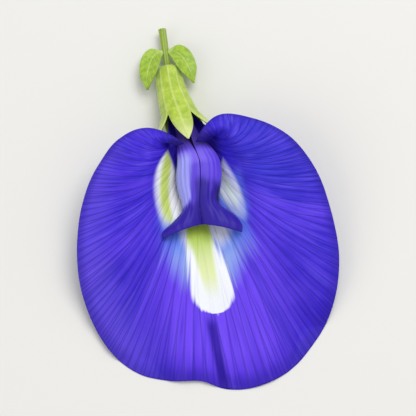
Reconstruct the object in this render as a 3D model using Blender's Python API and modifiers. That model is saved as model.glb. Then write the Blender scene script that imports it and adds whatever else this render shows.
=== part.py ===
"""Butterfly pea flower: one picked bloom, lying face up on a level surface.

The bloom is worked out in its own frame, in millimetres: the petal veins spread from the
origin, +Y runs up the face to the calyx, and +Z looks out of the face. lie() leans the calyx
aside, tips the face back, sets the bloom down on the surface and turns the point into metres.
"""

import math

import bmesh
import bpy
from mathutils import Matrix, Vector

MM = 0.001
MERGE = 0.02 * MM  # points closer than this are one
PETAL = 0.6  # thickness of a petal's blade
CLAW = 0.45  # thickness of a petal's narrow foot, inside the calyx
PRESSED_IN = 0.01  # how far a blade's back is pressed in where it lies on the surface
HAND = {"left": -1, "right": 1}

# How the bloom lies
FACE_TILT = math.radians(12.6)
FACE_HEIGHT = 6.73  # of the frame's origin above the surface
CALYX_SWAY = -1.9  # how far the calyx stands aside of the face's midline
SWAY_FROM, SWAY_SPAN = 9.0, 13.0
PLAN_CENTRE = Vector((0.1, 1.47, 0.0))  # middle of the bloom's box, which becomes the origin

# Calyx: a tube and five lobes, counted from the front one round
CALYX_FOOT = Vector((0.0, 23.4, -10.15))
CALYX_PITCH = math.radians(22.6)
CALYX_WALL = 0.5
TUBE_LENGTH = 8.6
LOBES = 5
LOBE_FLARE = (0.85, 2.55, 1.2, 1.2, 2.55)  # outward at the tip
LOBE_LENGTH = (5.9, 4.6, 5.6, 5.6, 4.6)
LOBE_TAPER, LOBE_TIP = 1.9, 0.1  # how late the lobe narrows, and the share left at its tip
# Middle of the tube's wall: place along the profile, distance along the tube, radius
TUBE_WALL = ((0.0, -0.25, 0.95), (0.1, -0.25, 1.52), (0.2, 0.3, 1.97), (0.35, 1.6, 2.04),
             (0.6, 4.2, 2.28), (0.8, 6.6, 2.63), (1.0, 8.6, 2.95))

# Standard petal: its edge as angle from the foot of the face, reach, and height of the rim
EDGE = (
    (-175, 10.8, -0.3), (-158, 15.2, 0.0), (-140, 17.0, 0.5), (-120, 18.0, 0.0),
    (-100, 19.2, -0.7), (-80, 21.1, -0.5), (-60, 24.2, -1.3), (-40, 27.7, -1.8),
    (-28, 29.1, -2.2), (-18, 28.6, -0.6), (-8, 28.2, 0.1), (0, 29.9, -0.1), (8, 30.5, 0.1),
    (20, 30.3, -0.5), (31, 29.2, -2.2), (43, 27.3, -1.7), (60, 24.4, -0.6), (80, 21.4, -1.0),
    (100, 19.9, -0.4), (120, 18.7, 0.3), (140, 17.2, 0.6), (158, 15.6, 0.2), (175, 10.8, -0.3),
)
EDGE_END = 175
# Where the veins turn out of the throat: share of the half petal, point, climb of the wall
TURN = ((0.0, 0.0, 4.0, -6.5, 9.7), (0.25, 0.9, 2.4, -5.2, 11.5), (0.5, 1.9, 1.6, -3.6, 12.8),
        (0.75, 3.5, 5.2, -4.2, 13.0), (0.9, 4.7, 8.0, -4.4, 6.0), (1.0, 5.2, 10.0, -3.0, -0.3))
CLAW_SHARE = 0.2  # of the petal's length
CLAW_ARC = (math.radians(56), math.radians(74))  # half width at the foot, and at the tube's mouth
CLAW_RADIUS = (1.275, 2.0)
CLAW_START = 1.15  # above the calyx's floor
RIM_CROWDING = 1.25  # how much closer the rows of cells lie towards the rim
THROAT_SHIFT = 0.9  # how far the throat stands to the right
THROAT_ROUNDING = 2.2  # how softly the throat turns into the face
DISH = 1.0
DISH_FROM = 0.4
DISH_AT_MIDLINE = 0.2  # share of the dish's depth
PLEATS, PLEAT_DEPTH, PLEAT_PHASE = 9, 0.22, 0.6
MIDLINE_WIDTH = 13  # degrees, where neither dish nor pleats reach
CREASE_WIDTH, CREASE_DEPTH = 4, 0.45
CREASE_FROM, CREASE_FADE = 0.5, 0.3

# Wing petals: the inner edge of the right one, and the outer edge of each as if it were the right
# one, as share of the length and point
WING_INNER = (
    (0.00, 1.33, 22.45, -9.3), (0.18, 1.33, 15.6, -6.1), (0.25, 1.42, 13.7, -4.3),
    (0.31, 0.95, 12.0, -2.6), (0.42, 0.40, 9.6, -1.15), (0.56, 0.32, 6.8, 0.2),
    (0.70, 0.32, 4.2, 0.65), (0.84, 0.34, 1.6, 0.8), (1.00, 0.45, -2.2, 0.35),
)
WING_OUTER = {
    -1: (
        (0.00, 1.33, 22.1, -9.95), (0.18, 1.33, 15.3, -6.95), (0.30, 1.95, 11.5, -4.6),
        (0.42, 3.2, 9.1, -2.9), (0.56, 3.95, 6.0, -2.3), (0.68, 3.65, 3.4, -1.9),
        (0.78, 2.9, 1.2, -1.35), (0.86, 3.0, -0.3, -1.0), (0.93, 4.6, -1.9, -0.3),
        (1.00, 6.8, -4.1, 1.0),
    ),
    1: (
        (0.00, 1.33, 22.1, -9.95), (0.18, 1.33, 15.3, -6.95), (0.30, 1.95, 11.5, -4.6),
        (0.42, 2.8, 9.1, -2.9), (0.56, 3.4, 6.2, -2.3), (0.68, 3.4, 3.5, -1.85),
        (0.78, 3.15, 1.3, -1.35), (0.86, 3.5, -0.2, -0.9), (0.93, 5.2, -1.8, -0.2),
        (1.00, 6.5, -5.0, 1.0),
    ),
}
WING_BULGE = 0.16  # of the width
BLADE_FROM = 0.2  # share of a wing's or the keel's length where the claw widens into the blade
BULGE_SPAN, KEEL_LEVELS_OVER = 0.2, 0.4
WING_HOLLOW, HOLLOW_FROM = 0.4, 0.82  # how deep the wing's lower edge is cut in, and from where
WING_BOW = 1.1  # how far the wings' ridge stands to the right, between the two ends below
BOW_TOP, BOW_TOP_SPAN = 12.6, 5.4
BOW_END, BOW_END_SPAN = -1.0, 9.0

# Keel: share of the length, middle of the section, half width, height, half arc in degrees
KEEL = (
    (0.00, 22.4, -9.73, 1.33, 1.33, 38), (0.20, 15.5, -6.85, 1.3, 1.33, 34),
    (0.28, 13.6, -6.0, 1.25, 1.28, 35), (0.36, 11.8, -5.1, 1.22, 1.25, 56),
    (0.50, 9.0, -3.7, 1.75, 1.7, 100), (0.65, 6.3, -3.0, 2.0, 1.9, 112),
    (0.80, 3.5, -2.5, 2.0, 1.85, 112), (0.92, 1.3, -2.2, 1.4, 1.45, 112),
    (1.00, 0.1, -2.1, 0.55, 0.6, 112),
)

# Middle line of the stamens and the pistil: share of the length, and point
HEART_LINE = ((0.0, 22.4, -9.73), (0.38, 15.5, -6.85), (0.6, 11.4, -5.05), (0.8, 7.8, -3.9),
              (1.0, 4.2, -3.35), (1.2, 0.6, -3.0))
TUBE_INNER, TUBE_OUTER = 0.53, 0.78
TUBE_SLIT = math.radians(54)  # half the arc that the tube leaves open
TUBE_END = 0.84
FILAMENTS = 9
FREE_ENDS = (0.12, 0.17)  # how far the filaments reach on, by turns
TIP_OVERLAP = 0.06  # how far their feet are sunk into the tube
TIPS_SPREAD = 0.9  # of the tube's arc
STAMEN = ((0.0, 0.16), (0.5, 0.13), (0.68, 0.14), (0.76, 0.25), (0.9, 0.25), (1.0, 0.1))
PISTIL = ((0.0, 0.2), (0.3, 0.24), (0.6, 0.25), (0.8, 0.18), (0.94, 0.17), (1.0, 0.24))
PISTIL_END = 1.12
STYLE_BEND, STYLE_RISE = 0.88, 0.9  # from there the style bends up into the keel's beak

# Pedicel and receptacle, one turned stem: share, distance along the calyx, lift, radius
PEDICEL = (
    (0.0, -7.4, 1.05, 0.66), (0.1, -6.8, 0.95, 0.62), (0.2, -5.4, 0.70, 0.60),
    (0.3, -4.0, 0.42, 0.58), (0.4, -2.6, 0.18, 0.58), (0.5, -1.2, 0.03, 0.60),
    (0.6, -0.4, 0.0, 0.62), (0.7, 0.14, 0.0, 0.64), (0.8, 0.38, 0.0, 1.2),
    (0.9, 0.6, 0.0, 1.38), (1.0, 0.85, 0.0, 1.1),
)

# Bracteole on the right: inner and outer edge in the calyx's frame (aside, along, lift)
BRACTEOLE_INNER = ((0.0, 0.95, -2.9, 0.7), (0.25, 0.95, -1.9, 1.4), (0.5, 1.3, -0.4, 2.25),
                   (0.78, 2.2, 1.4, 2.0), (1.0, 3.7, 2.9, 0.3))
BRACTEOLE_OUTER = ((0.0, 0.95, -3.7, 0.7), (0.25, 2.5, -4.1, 1.0), (0.5, 4.1, -2.6, 1.1),
                   (0.78, 4.8, 0.2, 0.7), (1.0, 4.1, 2.8, 0.0))
BRACTEOLE_CUP = 0.15  # depth of its hollow, of the width

# Cells of each sheet: across, and along from its foot
STANDARD_CELLS = (46, 26)
WING_CELLS = (6, 22)
KEEL_CELLS = (12, 22)
BRACTEOLE_CELLS = (6, 12)
CALYX_TUBE_RINGS, LOBE_CELLS = 10, (6, 7)
STAMEN_TUBE_CELLS = (16, 14)
PEDICEL_CELLS, PISTIL_CELLS, STAMEN_CELLS = (12, 20), (8, 24), (6, 8)


def through(knots, t):
    """A smooth curve through knots, each a tuple that starts with its place along the curve."""
    last = len(knots) - 1
    i = 0
    while i < last - 1 and t > knots[i + 1][0]:
        i += 1

    def slope(j, k):
        low, high = knots[max(j - 1, 0)], knots[min(j + 1, last)]
        return (high[k] - low[k]) / (high[0] - low[0])

    start, end = knots[i], knots[i + 1]
    span = end[0] - start[0]
    w = (t - start[0]) / span
    out = []
    for k in range(1, len(start)):
        a = (2 * w**3 - 3 * w**2 + 1) * start[k] + (3 * w**2 - 2 * w**3) * end[k]
        b = (w**3 - 2 * w**2 + w) * slope(i, k) + (w**3 - w**2) * slope(i + 1, k)
        out.append(a + b * span)
    return out


def ease(w):
    w = min(max(w, 0.0), 1.0)
    return w * w * (3 - 2 * w)


def soft_min(a, b, rounding):
    return min(a, b) - max(rounding - abs(a - b), 0.0) ** 2 / (4 * rounding)


def lie(point):
    """From the bloom's own frame to the surface it lies on, in metres."""
    x, y, z = point
    x += CALYX_SWAY * ease((y - SWAY_FROM) / SWAY_SPAN)
    turned = Matrix.Rotation(FACE_TILT, 3, "X") @ Vector((x, y, z))
    return (turned + Vector((0, 0, FACE_HEIGHT)) - PLAN_CENTRE) * MM


def in_calyx(aside, along, lift):
    """A point given across and along the calyx, in the bloom's frame."""
    forward = Vector((0, -math.cos(CALYX_PITCH), math.sin(CALYX_PITCH)))
    outward = Vector((0, math.sin(CALYX_PITCH), math.cos(CALYX_PITCH)))
    return CALYX_FOOT + forward * along + outward * lift + Vector((aside, 0, 0))


def grid(mesh, cells, place, closed=False):
    """Adds a sheet of cells to the mesh, shaped by place(u, v)."""
    made = bmesh.ops.create_grid(mesh, x_segments=cells[0], y_segments=cells[1], size=0.5)["verts"]
    for vertex in made:
        vertex.co = lie(place(vertex.co.x + 0.5, vertex.co.y + 0.5))
    if closed:
        bmesh.ops.remove_doubles(mesh, verts=made, dist=MERGE)


def press(points, height=0.0):
    """What would reach lower than a height above the surface, in millimetres, is pressed flat."""
    for point in points:
        point.co.z = max(point.co.z, height * MM)


def finish(name, bm, colour, roughness):
    """A bmesh becomes a named object with its own material, in the bloom's collection."""
    mesh = bpy.data.meshes.new(name)
    bmesh.ops.recalc_face_normals(bm, faces=bm.faces)
    bm.to_mesh(mesh)
    bm.free()
    piece = bpy.data.objects.new(name, mesh)
    bloom.objects.link(piece)
    material = bpy.data.materials.new(name)
    material.use_nodes = True
    shader = material.node_tree.nodes["Principled BSDF"]
    shader.inputs["Base Color"].default_value = (*colour, 1.0)
    shader.inputs["Roughness"].default_value = roughness
    mesh.materials.append(material)
    mesh.shade_smooth()
    return piece


def apply_modifiers(piece):
    """The piece keeps the mesh that its modifiers give."""
    bpy.context.view_layer.update()
    evaluated = piece.evaluated_get(bpy.context.evaluated_depsgraph_get())
    applied = bpy.data.meshes.new_from_object(evaluated)
    piece.modifiers.clear()
    plain = piece.data
    piece.data = applied
    bpy.data.meshes.remove(plain)


def thicken(piece, thickness):
    """Gives a sheet its walls: thickness(co) in millimetres at each point of the sheet."""
    group = piece.vertex_groups.new(name="thickness")
    for vertex in piece.data.vertices:
        group.add([vertex.index], thickness(vertex.co) / PETAL, "REPLACE")
    walls = piece.modifiers.new("walls", "SOLIDIFY")
    walls.thickness = PETAL * MM
    walls.offset = 0.0
    walls.vertex_group = group.name
    apply_modifiers(piece)
    piece.vertex_groups.clear()
    press(piece.data.vertices)


def sheet_of(name, cells, place, colour, roughness, thickness):
    """One petal or bract: a sheet split into triangles, then given its walls."""
    sheet = bmesh.new()
    grid(sheet, cells, place)
    press(sheet.verts, PETAL / 2 - PRESSED_IN)
    bmesh.ops.triangulate(sheet, faces=sheet.faces)
    thicken(finish(name, sheet, colour, roughness), thickness)


def foot_is_thinner(co):
    """A petal is thin in the calyx, and has its full thickness where the blade starts."""
    mouth = lie(in_calyx(0, TUBE_LENGTH, 0))
    foot = lie(in_calyx(0, CLAW_START, 0))
    return CLAW + (PETAL - CLAW) * ease((foot.y - co.y) / (foot.y - mouth.y))


def standard_point(u, v):
    """u runs from the petal's left edge to its right one, v from its foot along a vein."""
    side = 2 * u - 1
    if v < CLAW_SHARE:
        along = v / CLAW_SHARE
        arc = side * (CLAW_ARC[0] + (CLAW_ARC[1] - CLAW_ARC[0]) * along)
        radius = CLAW_RADIUS[0] + (CLAW_RADIUS[1] - CLAW_RADIUS[0]) * ease(along)
        distance = CLAW_START + (TUBE_LENGTH - CLAW_START) * along
        return in_calyx(radius * math.sin(arc), distance, -radius * math.cos(arc))
    t = 1 - ((1 - v) / (1 - CLAW_SHARE)) ** RIM_CROWDING
    arc = side * CLAW_ARC[1]
    radius = CLAW_RADIUS[1]
    start = in_calyx(radius * math.sin(arc), TUBE_LENGTH, -radius * math.cos(arc))
    angle = side * EDGE_END
    reach, rim = through(EDGE, angle)
    turn_x, turn_y, turn_z, climb = through(TURN, abs(side))
    turn = Vector((math.copysign(turn_x, side) + THROAT_SHIFT, turn_y, turn_z))
    bearing = math.radians(angle)
    end = Vector((reach * math.sin(bearing), -reach * math.cos(bearing), climb))
    point = (1 - t) ** 2 * start + 2 * t * (1 - t) * turn + t * t * end
    point.z = soft_min(point.z, face_height(angle, t, rim), THROAT_ROUNDING)
    return point


def face_height(angle, t, rim):
    """Height of the petal's face: a shallow dish with pleats, a midline crease and its rim."""
    w = max(t - DISH_FROM, 0.0) / (1 - DISH_FROM)
    midline = math.exp(-((angle / MIDLINE_WIDTH) ** 2))
    dish = DISH * math.sin(math.pi * w) * (1 - (1 - DISH_AT_MIDLINE) * midline)
    pleats = PLEAT_DEPTH * w * math.sin(math.radians(angle) * PLEATS + PLEAT_PHASE)
    crease = CREASE_DEPTH * math.exp(-((angle / CREASE_WIDTH) ** 2))
    crease *= ease((w - CREASE_FROM) / CREASE_FADE)
    return dish + rim * w**3 + pleats * (1 - midline) - crease


def bow(y):
    """How far the wings, and what they cover, stand to the right of the midline."""
    return WING_BOW * ease((BOW_TOP - y) / BOW_TOP_SPAN) * ease((y - BOW_END) / BOW_END_SPAN)


def wing_point(hand, u, v):
    """u runs from the wing's inner edge, at the ridge, to its outer one; v from its foot."""
    step = 0.01
    inner, outer = Vector(through(WING_INNER, v)), Vector(through(WING_OUTER[hand], v))
    across = outer - inner
    along = Vector(through(WING_INNER, min(v + step, 1))) - Vector(through(WING_INNER, v - step))
    up = across.cross(along).normalized()
    bulge = WING_BULGE * across.length * 4 * u * (1 - u) * ease((v - BLADE_FROM) / BULGE_SPAN)
    point = inner + across * u + up * math.copysign(bulge, up.z)
    point.y += WING_HOLLOW * 4 * u * (1 - u) * ease((v - HOLLOW_FROM) / (1 - HOLLOW_FROM))
    return Vector((hand * point.x + bow(point.y), point.y, point.z))


def keel_point(u, v):
    """The keel's section is an arch: upright on the claw's slope, and level further on."""
    y, z, half_width, height, arc = through(KEEL, v)
    angle = math.radians(arc) * (2 * u - 1)
    lean = math.sin(CALYX_PITCH) * (1 - ease((v - BLADE_FROM) / KEEL_LEVELS_OVER))
    rise = height * math.cos(angle)
    aside = half_width * math.sin(angle) + bow(y)
    return Vector((aside, y + rise * lean, z + rise * math.sqrt(1 - lean**2)))


def tube_wall_point(u, v):
    distance, radius = through(TUBE_WALL, v)
    around = 2 * math.pi * (u - 0.5 / LOBES)
    return in_calyx(radius * math.sin(around), distance, radius * math.cos(around))


def lobe_point(lobe, u, v):
    """u runs across the lobe, v from the tube's mouth to the lobe's tip."""
    width = 1 - (1 - LOBE_TIP) * v**LOBE_TAPER
    around = 2 * math.pi * (lobe + (u - 0.5) * width) / LOBES
    radius = TUBE_WALL[-1][2] + LOBE_FLARE[lobe] * v
    distance = TUBE_LENGTH + LOBE_LENGTH[lobe] * v
    return in_calyx(radius * math.sin(around), distance, radius * math.cos(around))


def bracteole_point(hand, u, v):
    inner, outer = Vector(through(BRACTEOLE_INNER, v)), Vector(through(BRACTEOLE_OUTER, v))
    point = inner.lerp(outer, u)
    point.z -= BRACTEOLE_CUP * (outer - inner).length * 4 * u * (1 - u)
    return in_calyx(hand * point.x, point.y, point.z)


def stem(mesh, cells, centre, radius):
    """A round stem along centre(t), radius(t) thick, closed at both ends."""
    step = 0.01
    aside = Vector((1, 0, 0))

    def place(u, v):
        ahead = centre(min(v + step, 1)) - centre(max(v - step, 0))
        up = aside.cross(ahead).normalized()
        turn = 2 * math.pi * u
        return centre(v) + (aside * math.cos(turn) + up * math.sin(turn)) * radius(v)

    grid(mesh, cells, place, closed=True)
    rims = [edge for edge in mesh.edges if edge.is_boundary]
    bmesh.ops.holes_fill(mesh, edges=rims, sides=cells[0])


def heart_point(t, aside=0.0, lift=0.0):
    """A point beside the middle line, where lift is square to the line."""
    step = 0.01
    y, z = through(HEART_LINE, t)
    ahead = Vector((0, *through(HEART_LINE, t + step))) - Vector((0, y, z))
    up = ahead.cross(Vector((1, 0, 0))).normalized()
    return Vector((aside + bow(y), y, z)) + up * lift


def make_standard():
    sheet_of("standard_petal", STANDARD_CELLS, standard_point, (0.07, 0.05, 0.62), 0.55,
             foot_is_thinner)


def make_wing(name, hand):
    sheet_of(name, WING_CELLS, lambda u, v: wing_point(hand, u, v), (0.12, 0.08, 0.6), 0.5,
             foot_is_thinner)


def make_keel():
    sheet_of("keel_petals", KEEL_CELLS, keel_point, (0.3, 0.25, 0.7), 0.5, lambda co: CLAW)


def make_bracteole(name, hand):
    sheet_of(name, BRACTEOLE_CELLS, lambda u, v: bracteole_point(hand, u, v), (0.35, 0.5, 0.06),
             0.6, lambda co: CALYX_WALL)


def make_calyx():
    sheet = bmesh.new()
    grid(sheet, (LOBES * LOBE_CELLS[0], CALYX_TUBE_RINGS), tube_wall_point, closed=True)
    for lobe in range(LOBES):
        grid(sheet, LOBE_CELLS, lambda u, v, lobe=lobe: lobe_point(lobe, u, v))
    bmesh.ops.remove_doubles(sheet, verts=sheet.verts, dist=MERGE)
    bmesh.ops.triangulate(sheet, faces=sheet.faces)
    thicken(finish("calyx", sheet, (0.42, 0.55, 0.08), 0.6), lambda co: CALYX_WALL)


def make_pedicel():
    mesh = bmesh.new()
    stem(mesh, PEDICEL_CELLS, lambda t: in_calyx(0, *through(PEDICEL, t)[:2]),
         lambda t: through(PEDICEL, t)[2])
    finish("pedicel", mesh, (0.3, 0.42, 0.07), 0.6)


def make_stamen(name, start, end, aside, lift):
    """One filament with its anther, along the bloom's middle line from start to end."""
    mesh = bmesh.new()
    stem(mesh, STAMEN_CELLS, lambda t: heart_point(start + (end - start) * t, aside, lift),
         lambda t: through(STAMEN, t)[0])
    return finish(name, mesh, (0.8, 0.78, 0.6), 0.6)


def make_stamen_tube():
    """Nine filaments grown into a tube with an open side, their free ends fused to its rim."""
    half_arc = math.pi - TUBE_SLIT
    middle = (TUBE_INNER + TUBE_OUTER) / 2

    def tube_point(u, v):
        angle = half_arc * (2 * u - 1)
        return heart_point(v * TUBE_END, middle * math.sin(angle), middle * math.cos(angle))

    sheet_of("stamen_tube", STAMEN_TUBE_CELLS, tube_point, (0.8, 0.78, 0.6), 0.6,
             lambda co: TUBE_OUTER - TUBE_INNER)
    tube = bloom.objects["stamen_tube"]
    tips = bpy.data.collections.new("stamen_tips")
    for i in range(FILAMENTS):
        angle = TIPS_SPREAD * half_arc * (2 * i / (FILAMENTS - 1) - 1)
        tip = make_stamen("stamen_tip", TUBE_END - TIP_OVERLAP, TUBE_END + FREE_ENDS[i % 2],
                          middle * math.sin(angle), middle * math.cos(angle))
        bloom.objects.unlink(tip)
        tips.objects.link(tip)
    union = tube.modifiers.new("tips", "BOOLEAN")
    union.operation = "UNION"
    union.operand_type = "COLLECTION"
    union.collection = tips
    apply_modifiers(tube)
    for tip in list(tips.objects):
        bpy.data.objects.remove(tip)
    bpy.data.collections.remove(tips)


def make_free_stamen():
    """The tenth stamen lies by itself in the tube's open side."""
    make_stamen("free_stamen", 0.0, TUBE_END + FREE_ENDS[0], 0.0, -(TUBE_INNER + TUBE_OUTER) / 2)


def make_pistil():
    def line(t):
        return heart_point(t * PISTIL_END, 0.0, STYLE_RISE * ease((t - STYLE_BEND) / (1 - STYLE_BEND)))

    mesh = bmesh.new()
    stem(mesh, PISTIL_CELLS, line, lambda t: through(PISTIL, t)[0])
    finish("pistil", mesh, (0.45, 0.6, 0.2), 0.6)


for leftover in list(bpy.data.objects):
    bpy.data.objects.remove(leftover)
bloom = bpy.data.collections.new("butterfly_pea_flower")
bpy.context.scene.collection.children.link(bloom)

make_standard()
for side_name, hand_sign in HAND.items():
    make_wing("wing_petal_" + side_name, hand_sign)
    make_bracteole("bracteole_" + side_name, hand_sign)
make_keel()
make_calyx()
make_pedicel()
make_stamen_tube()
make_free_stamen()
make_pistil()
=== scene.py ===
import math

import bmesh
import bpy
from mathutils import Matrix, Vector


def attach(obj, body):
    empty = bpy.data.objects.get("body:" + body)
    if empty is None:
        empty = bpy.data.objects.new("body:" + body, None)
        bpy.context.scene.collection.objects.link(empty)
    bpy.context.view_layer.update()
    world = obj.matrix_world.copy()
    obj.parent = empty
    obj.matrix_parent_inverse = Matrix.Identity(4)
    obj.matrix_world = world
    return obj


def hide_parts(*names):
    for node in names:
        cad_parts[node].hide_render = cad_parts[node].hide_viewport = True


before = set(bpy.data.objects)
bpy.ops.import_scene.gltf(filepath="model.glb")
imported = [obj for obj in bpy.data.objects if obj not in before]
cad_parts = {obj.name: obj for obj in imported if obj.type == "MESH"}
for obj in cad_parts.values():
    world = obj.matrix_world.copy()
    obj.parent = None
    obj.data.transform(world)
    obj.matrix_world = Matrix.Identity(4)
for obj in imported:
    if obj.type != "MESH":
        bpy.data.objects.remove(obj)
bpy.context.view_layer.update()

# Stalk
# The short flower stalk, cut when the bloom was picked, and the receptacle at its top, on which
# everything else grows. It is green plant tissue, finely ribbed and a little twisted, with down.
MM = 0.001
MERGE = 0.01 * MM  # points closer than this are one
STEP = 0.01  # of a length, to find which way a line runs
FACE_TILT = math.radians(12.6)  # of the bloom's face as it lies
FACE_HEIGHT = 6.73  # of the bloom's own origin above the surface
PLAN_CENTRE = Vector((0.1, 1.47, 0.0))  # middle of the bloom's box
CALYX_SWAY = -1.9  # how far the calyx stands aside of the face's midline
SWAY_FROM, SWAY_SPAN = 9.0, 13.0  # where along the bloom that begins, and how soon it is reached
CALYX_FOOT = Vector((0.0, 23.4, -10.15))  # in the bloom's own frame
CALYX_PITCH = math.radians(22.6)  # of the calyx against the face
STALK_CELLS = (56, 130)
# Share of the length, distance along the calyx, lift, radius
STALK = (
    (0.0, -7.4, 1.05, 0.66), (0.1, -6.8, 0.95, 0.62), (0.2, -5.4, 0.70, 0.60),
    (0.3, -4.0, 0.42, 0.58), (0.4, -2.6, 0.18, 0.58), (0.5, -1.2, 0.03, 0.60),
    (0.6, -0.4, 0.0, 0.62), (0.7, 0.14, 0.0, 0.64), (0.8, 0.38, 0.0, 1.2),
    (0.9, 0.6, 0.0, 1.38), (1.0, 0.85, 0.0, 1.1),
)
STALK_RIBS, STALK_TWIST = 7, 1.3  # the twist is in ribs from one end to the other
STALK_RIB = 0.045  # height of a rib, of the radius
STALK_HAIRS, STALK_HAIR_LENGTH = 320, 0.22
STALK_HAIR_ROOT = -0.05  # just inside the stalk's skin
STALK_DOWN = (0.06, 0.66)  # shares of the length, from the cut end to just below the receptacle
HAIR_RADIUS = 0.022  # at its root
HAIR_LEAN = 0.5  # towards the cut end
GOLDEN = (math.sqrt(5) - 1) / 2  # spreads hairs evenly


def through(knots, t):
    """A smooth curve through knots, each a tuple that starts with its place along the curve."""
    last = len(knots) - 1
    i = 0
    while i < last - 1 and t > knots[i + 1][0]:
        i += 1

    def slope(j, k):
        low, high = knots[max(j - 1, 0)], knots[min(j + 1, last)]
        return (high[k] - low[k]) / (high[0] - low[0])

    start, end = knots[i], knots[i + 1]
    span = end[0] - start[0]
    w = (t - start[0]) / span
    out = []
    for k in range(1, len(start)):
        a = (2 * w**3 - 3 * w**2 + 1) * start[k] + (3 * w**2 - 2 * w**3) * end[k]
        b = (w**3 - 2 * w**2 + w) * slope(i, k) + (w**3 - w**2) * slope(i + 1, k)
        out.append(a + b * span)
    return out


def lie(point):
    """From the bloom's own frame, in millimetres, to the surface it lies on, in metres."""
    x, y, z = point
    x += CALYX_SWAY * ease((y - SWAY_FROM) / SWAY_SPAN)
    turned = Matrix.Rotation(FACE_TILT, 3, "X") @ Vector((x, y, z))
    return (turned + Vector((0, 0, FACE_HEIGHT)) - PLAN_CENTRE) * MM


def in_calyx(aside, along, lift):
    """A point given across and along the calyx, in the bloom's frame."""
    forward = Vector((0, -math.cos(CALYX_PITCH), math.sin(CALYX_PITCH)))
    outward = Vector((0, math.sin(CALYX_PITCH), math.cos(CALYX_PITCH)))
    return CALYX_FOOT + forward * along + outward * lift + Vector((aside, 0, 0))


def grid(mesh, cells, place, closed=False, before=0):
    """Adds a sheet of cells to the mesh, shaped by place(u, v).

    Its UV map keeps u, and v counted on from before, so that a lobe carries on from its tube.
    """
    layer = mesh.loops.layers.uv.get("growth") or mesh.loops.layers.uv.new("growth")
    made = bmesh.ops.create_grid(mesh, x_segments=cells[0], y_segments=cells[1], size=0.5)["verts"]
    for face in {face for vertex in made for face in vertex.link_faces}:
        for loop in face.loops:
            loop[layer].uv = (loop.vert.co.x + 0.5, loop.vert.co.y + 0.5 + before)
    for vertex in made:
        vertex.co = lie(place(vertex.co.x + 0.5, vertex.co.y + 0.5))
    if closed:
        bmesh.ops.remove_doubles(mesh, verts=made, dist=MERGE)


def stem(mesh, cells, centre, radius):
    """A stem round the line centre(v), radius(u, v) thick, closed at both ends."""
    aside = Vector((1, 0, 0))

    def place(u, v):
        ahead = centre(min(v + STEP, 1)) - centre(max(v - STEP, 0))
        up = aside.cross(ahead).normalized()
        turn = 2 * math.pi * u
        return centre(v) + (aside * math.cos(turn) + up * math.sin(turn)) * radius(u, v)

    grid(mesh, cells, place, closed=True)
    rims = [edge for edge in mesh.edges if edge.is_boundary]
    bmesh.ops.holes_fill(mesh, edges=rims, sides=cells[0])


def finish_piece(name, mesh, finishes, nodes, up=None):
    """A bmesh becomes a smooth piece with its finishes, and stands for its CAD nodes.

    A closed mesh gets its normals turned outwards. An open sheet is made to face up.
    """
    mesh.normal_update()
    if up is None:
        bmesh.ops.recalc_face_normals(mesh, faces=mesh.faces)
    elif sum((face.normal * face.calc_area() for face in mesh.faces), Vector()).dot(up) < 0:
        bmesh.ops.reverse_faces(mesh, faces=mesh.faces)
    data = bpy.data.meshes.new(name)
    mesh.to_mesh(data)
    mesh.free()
    data.shade_smooth()
    for finish in finishes:
        data.materials.append(finish.material)
    piece = bpy.data.objects.new(name, data)
    bpy.context.scene.collection.objects.link(piece)
    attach(piece, "root")
    if nodes:
        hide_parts(*nodes)
    return piece


class Wire:
    """A socket in a finish. Sums and products of wires and numbers add their Math nodes."""

    def __init__(self, finish, socket):
        self.finish, self.socket = finish, socket

    def math(self, operation, *values):
        return self.finish.node("ShaderNodeMath", {"operation": operation}, dict(enumerate(values)))

    def __add__(self, other):
        return self.math("ADD", self, other)

    def __sub__(self, other):
        return self.math("SUBTRACT", self, other)

    def __rsub__(self, other):
        return self.math("SUBTRACT", other, self)

    def __mul__(self, other):
        return self.math("MULTIPLY", self, other)

    def __truediv__(self, other):
        return self.math("DIVIDE", self, other)

    def __rtruediv__(self, other):
        return self.math("DIVIDE", other, self)

    def __pow__(self, other):
        return self.math("POWER", self, other)

    def __abs__(self):
        return self.math("ABSOLUTE", self)

    __radd__, __rmul__ = __add__, __mul__


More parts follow.
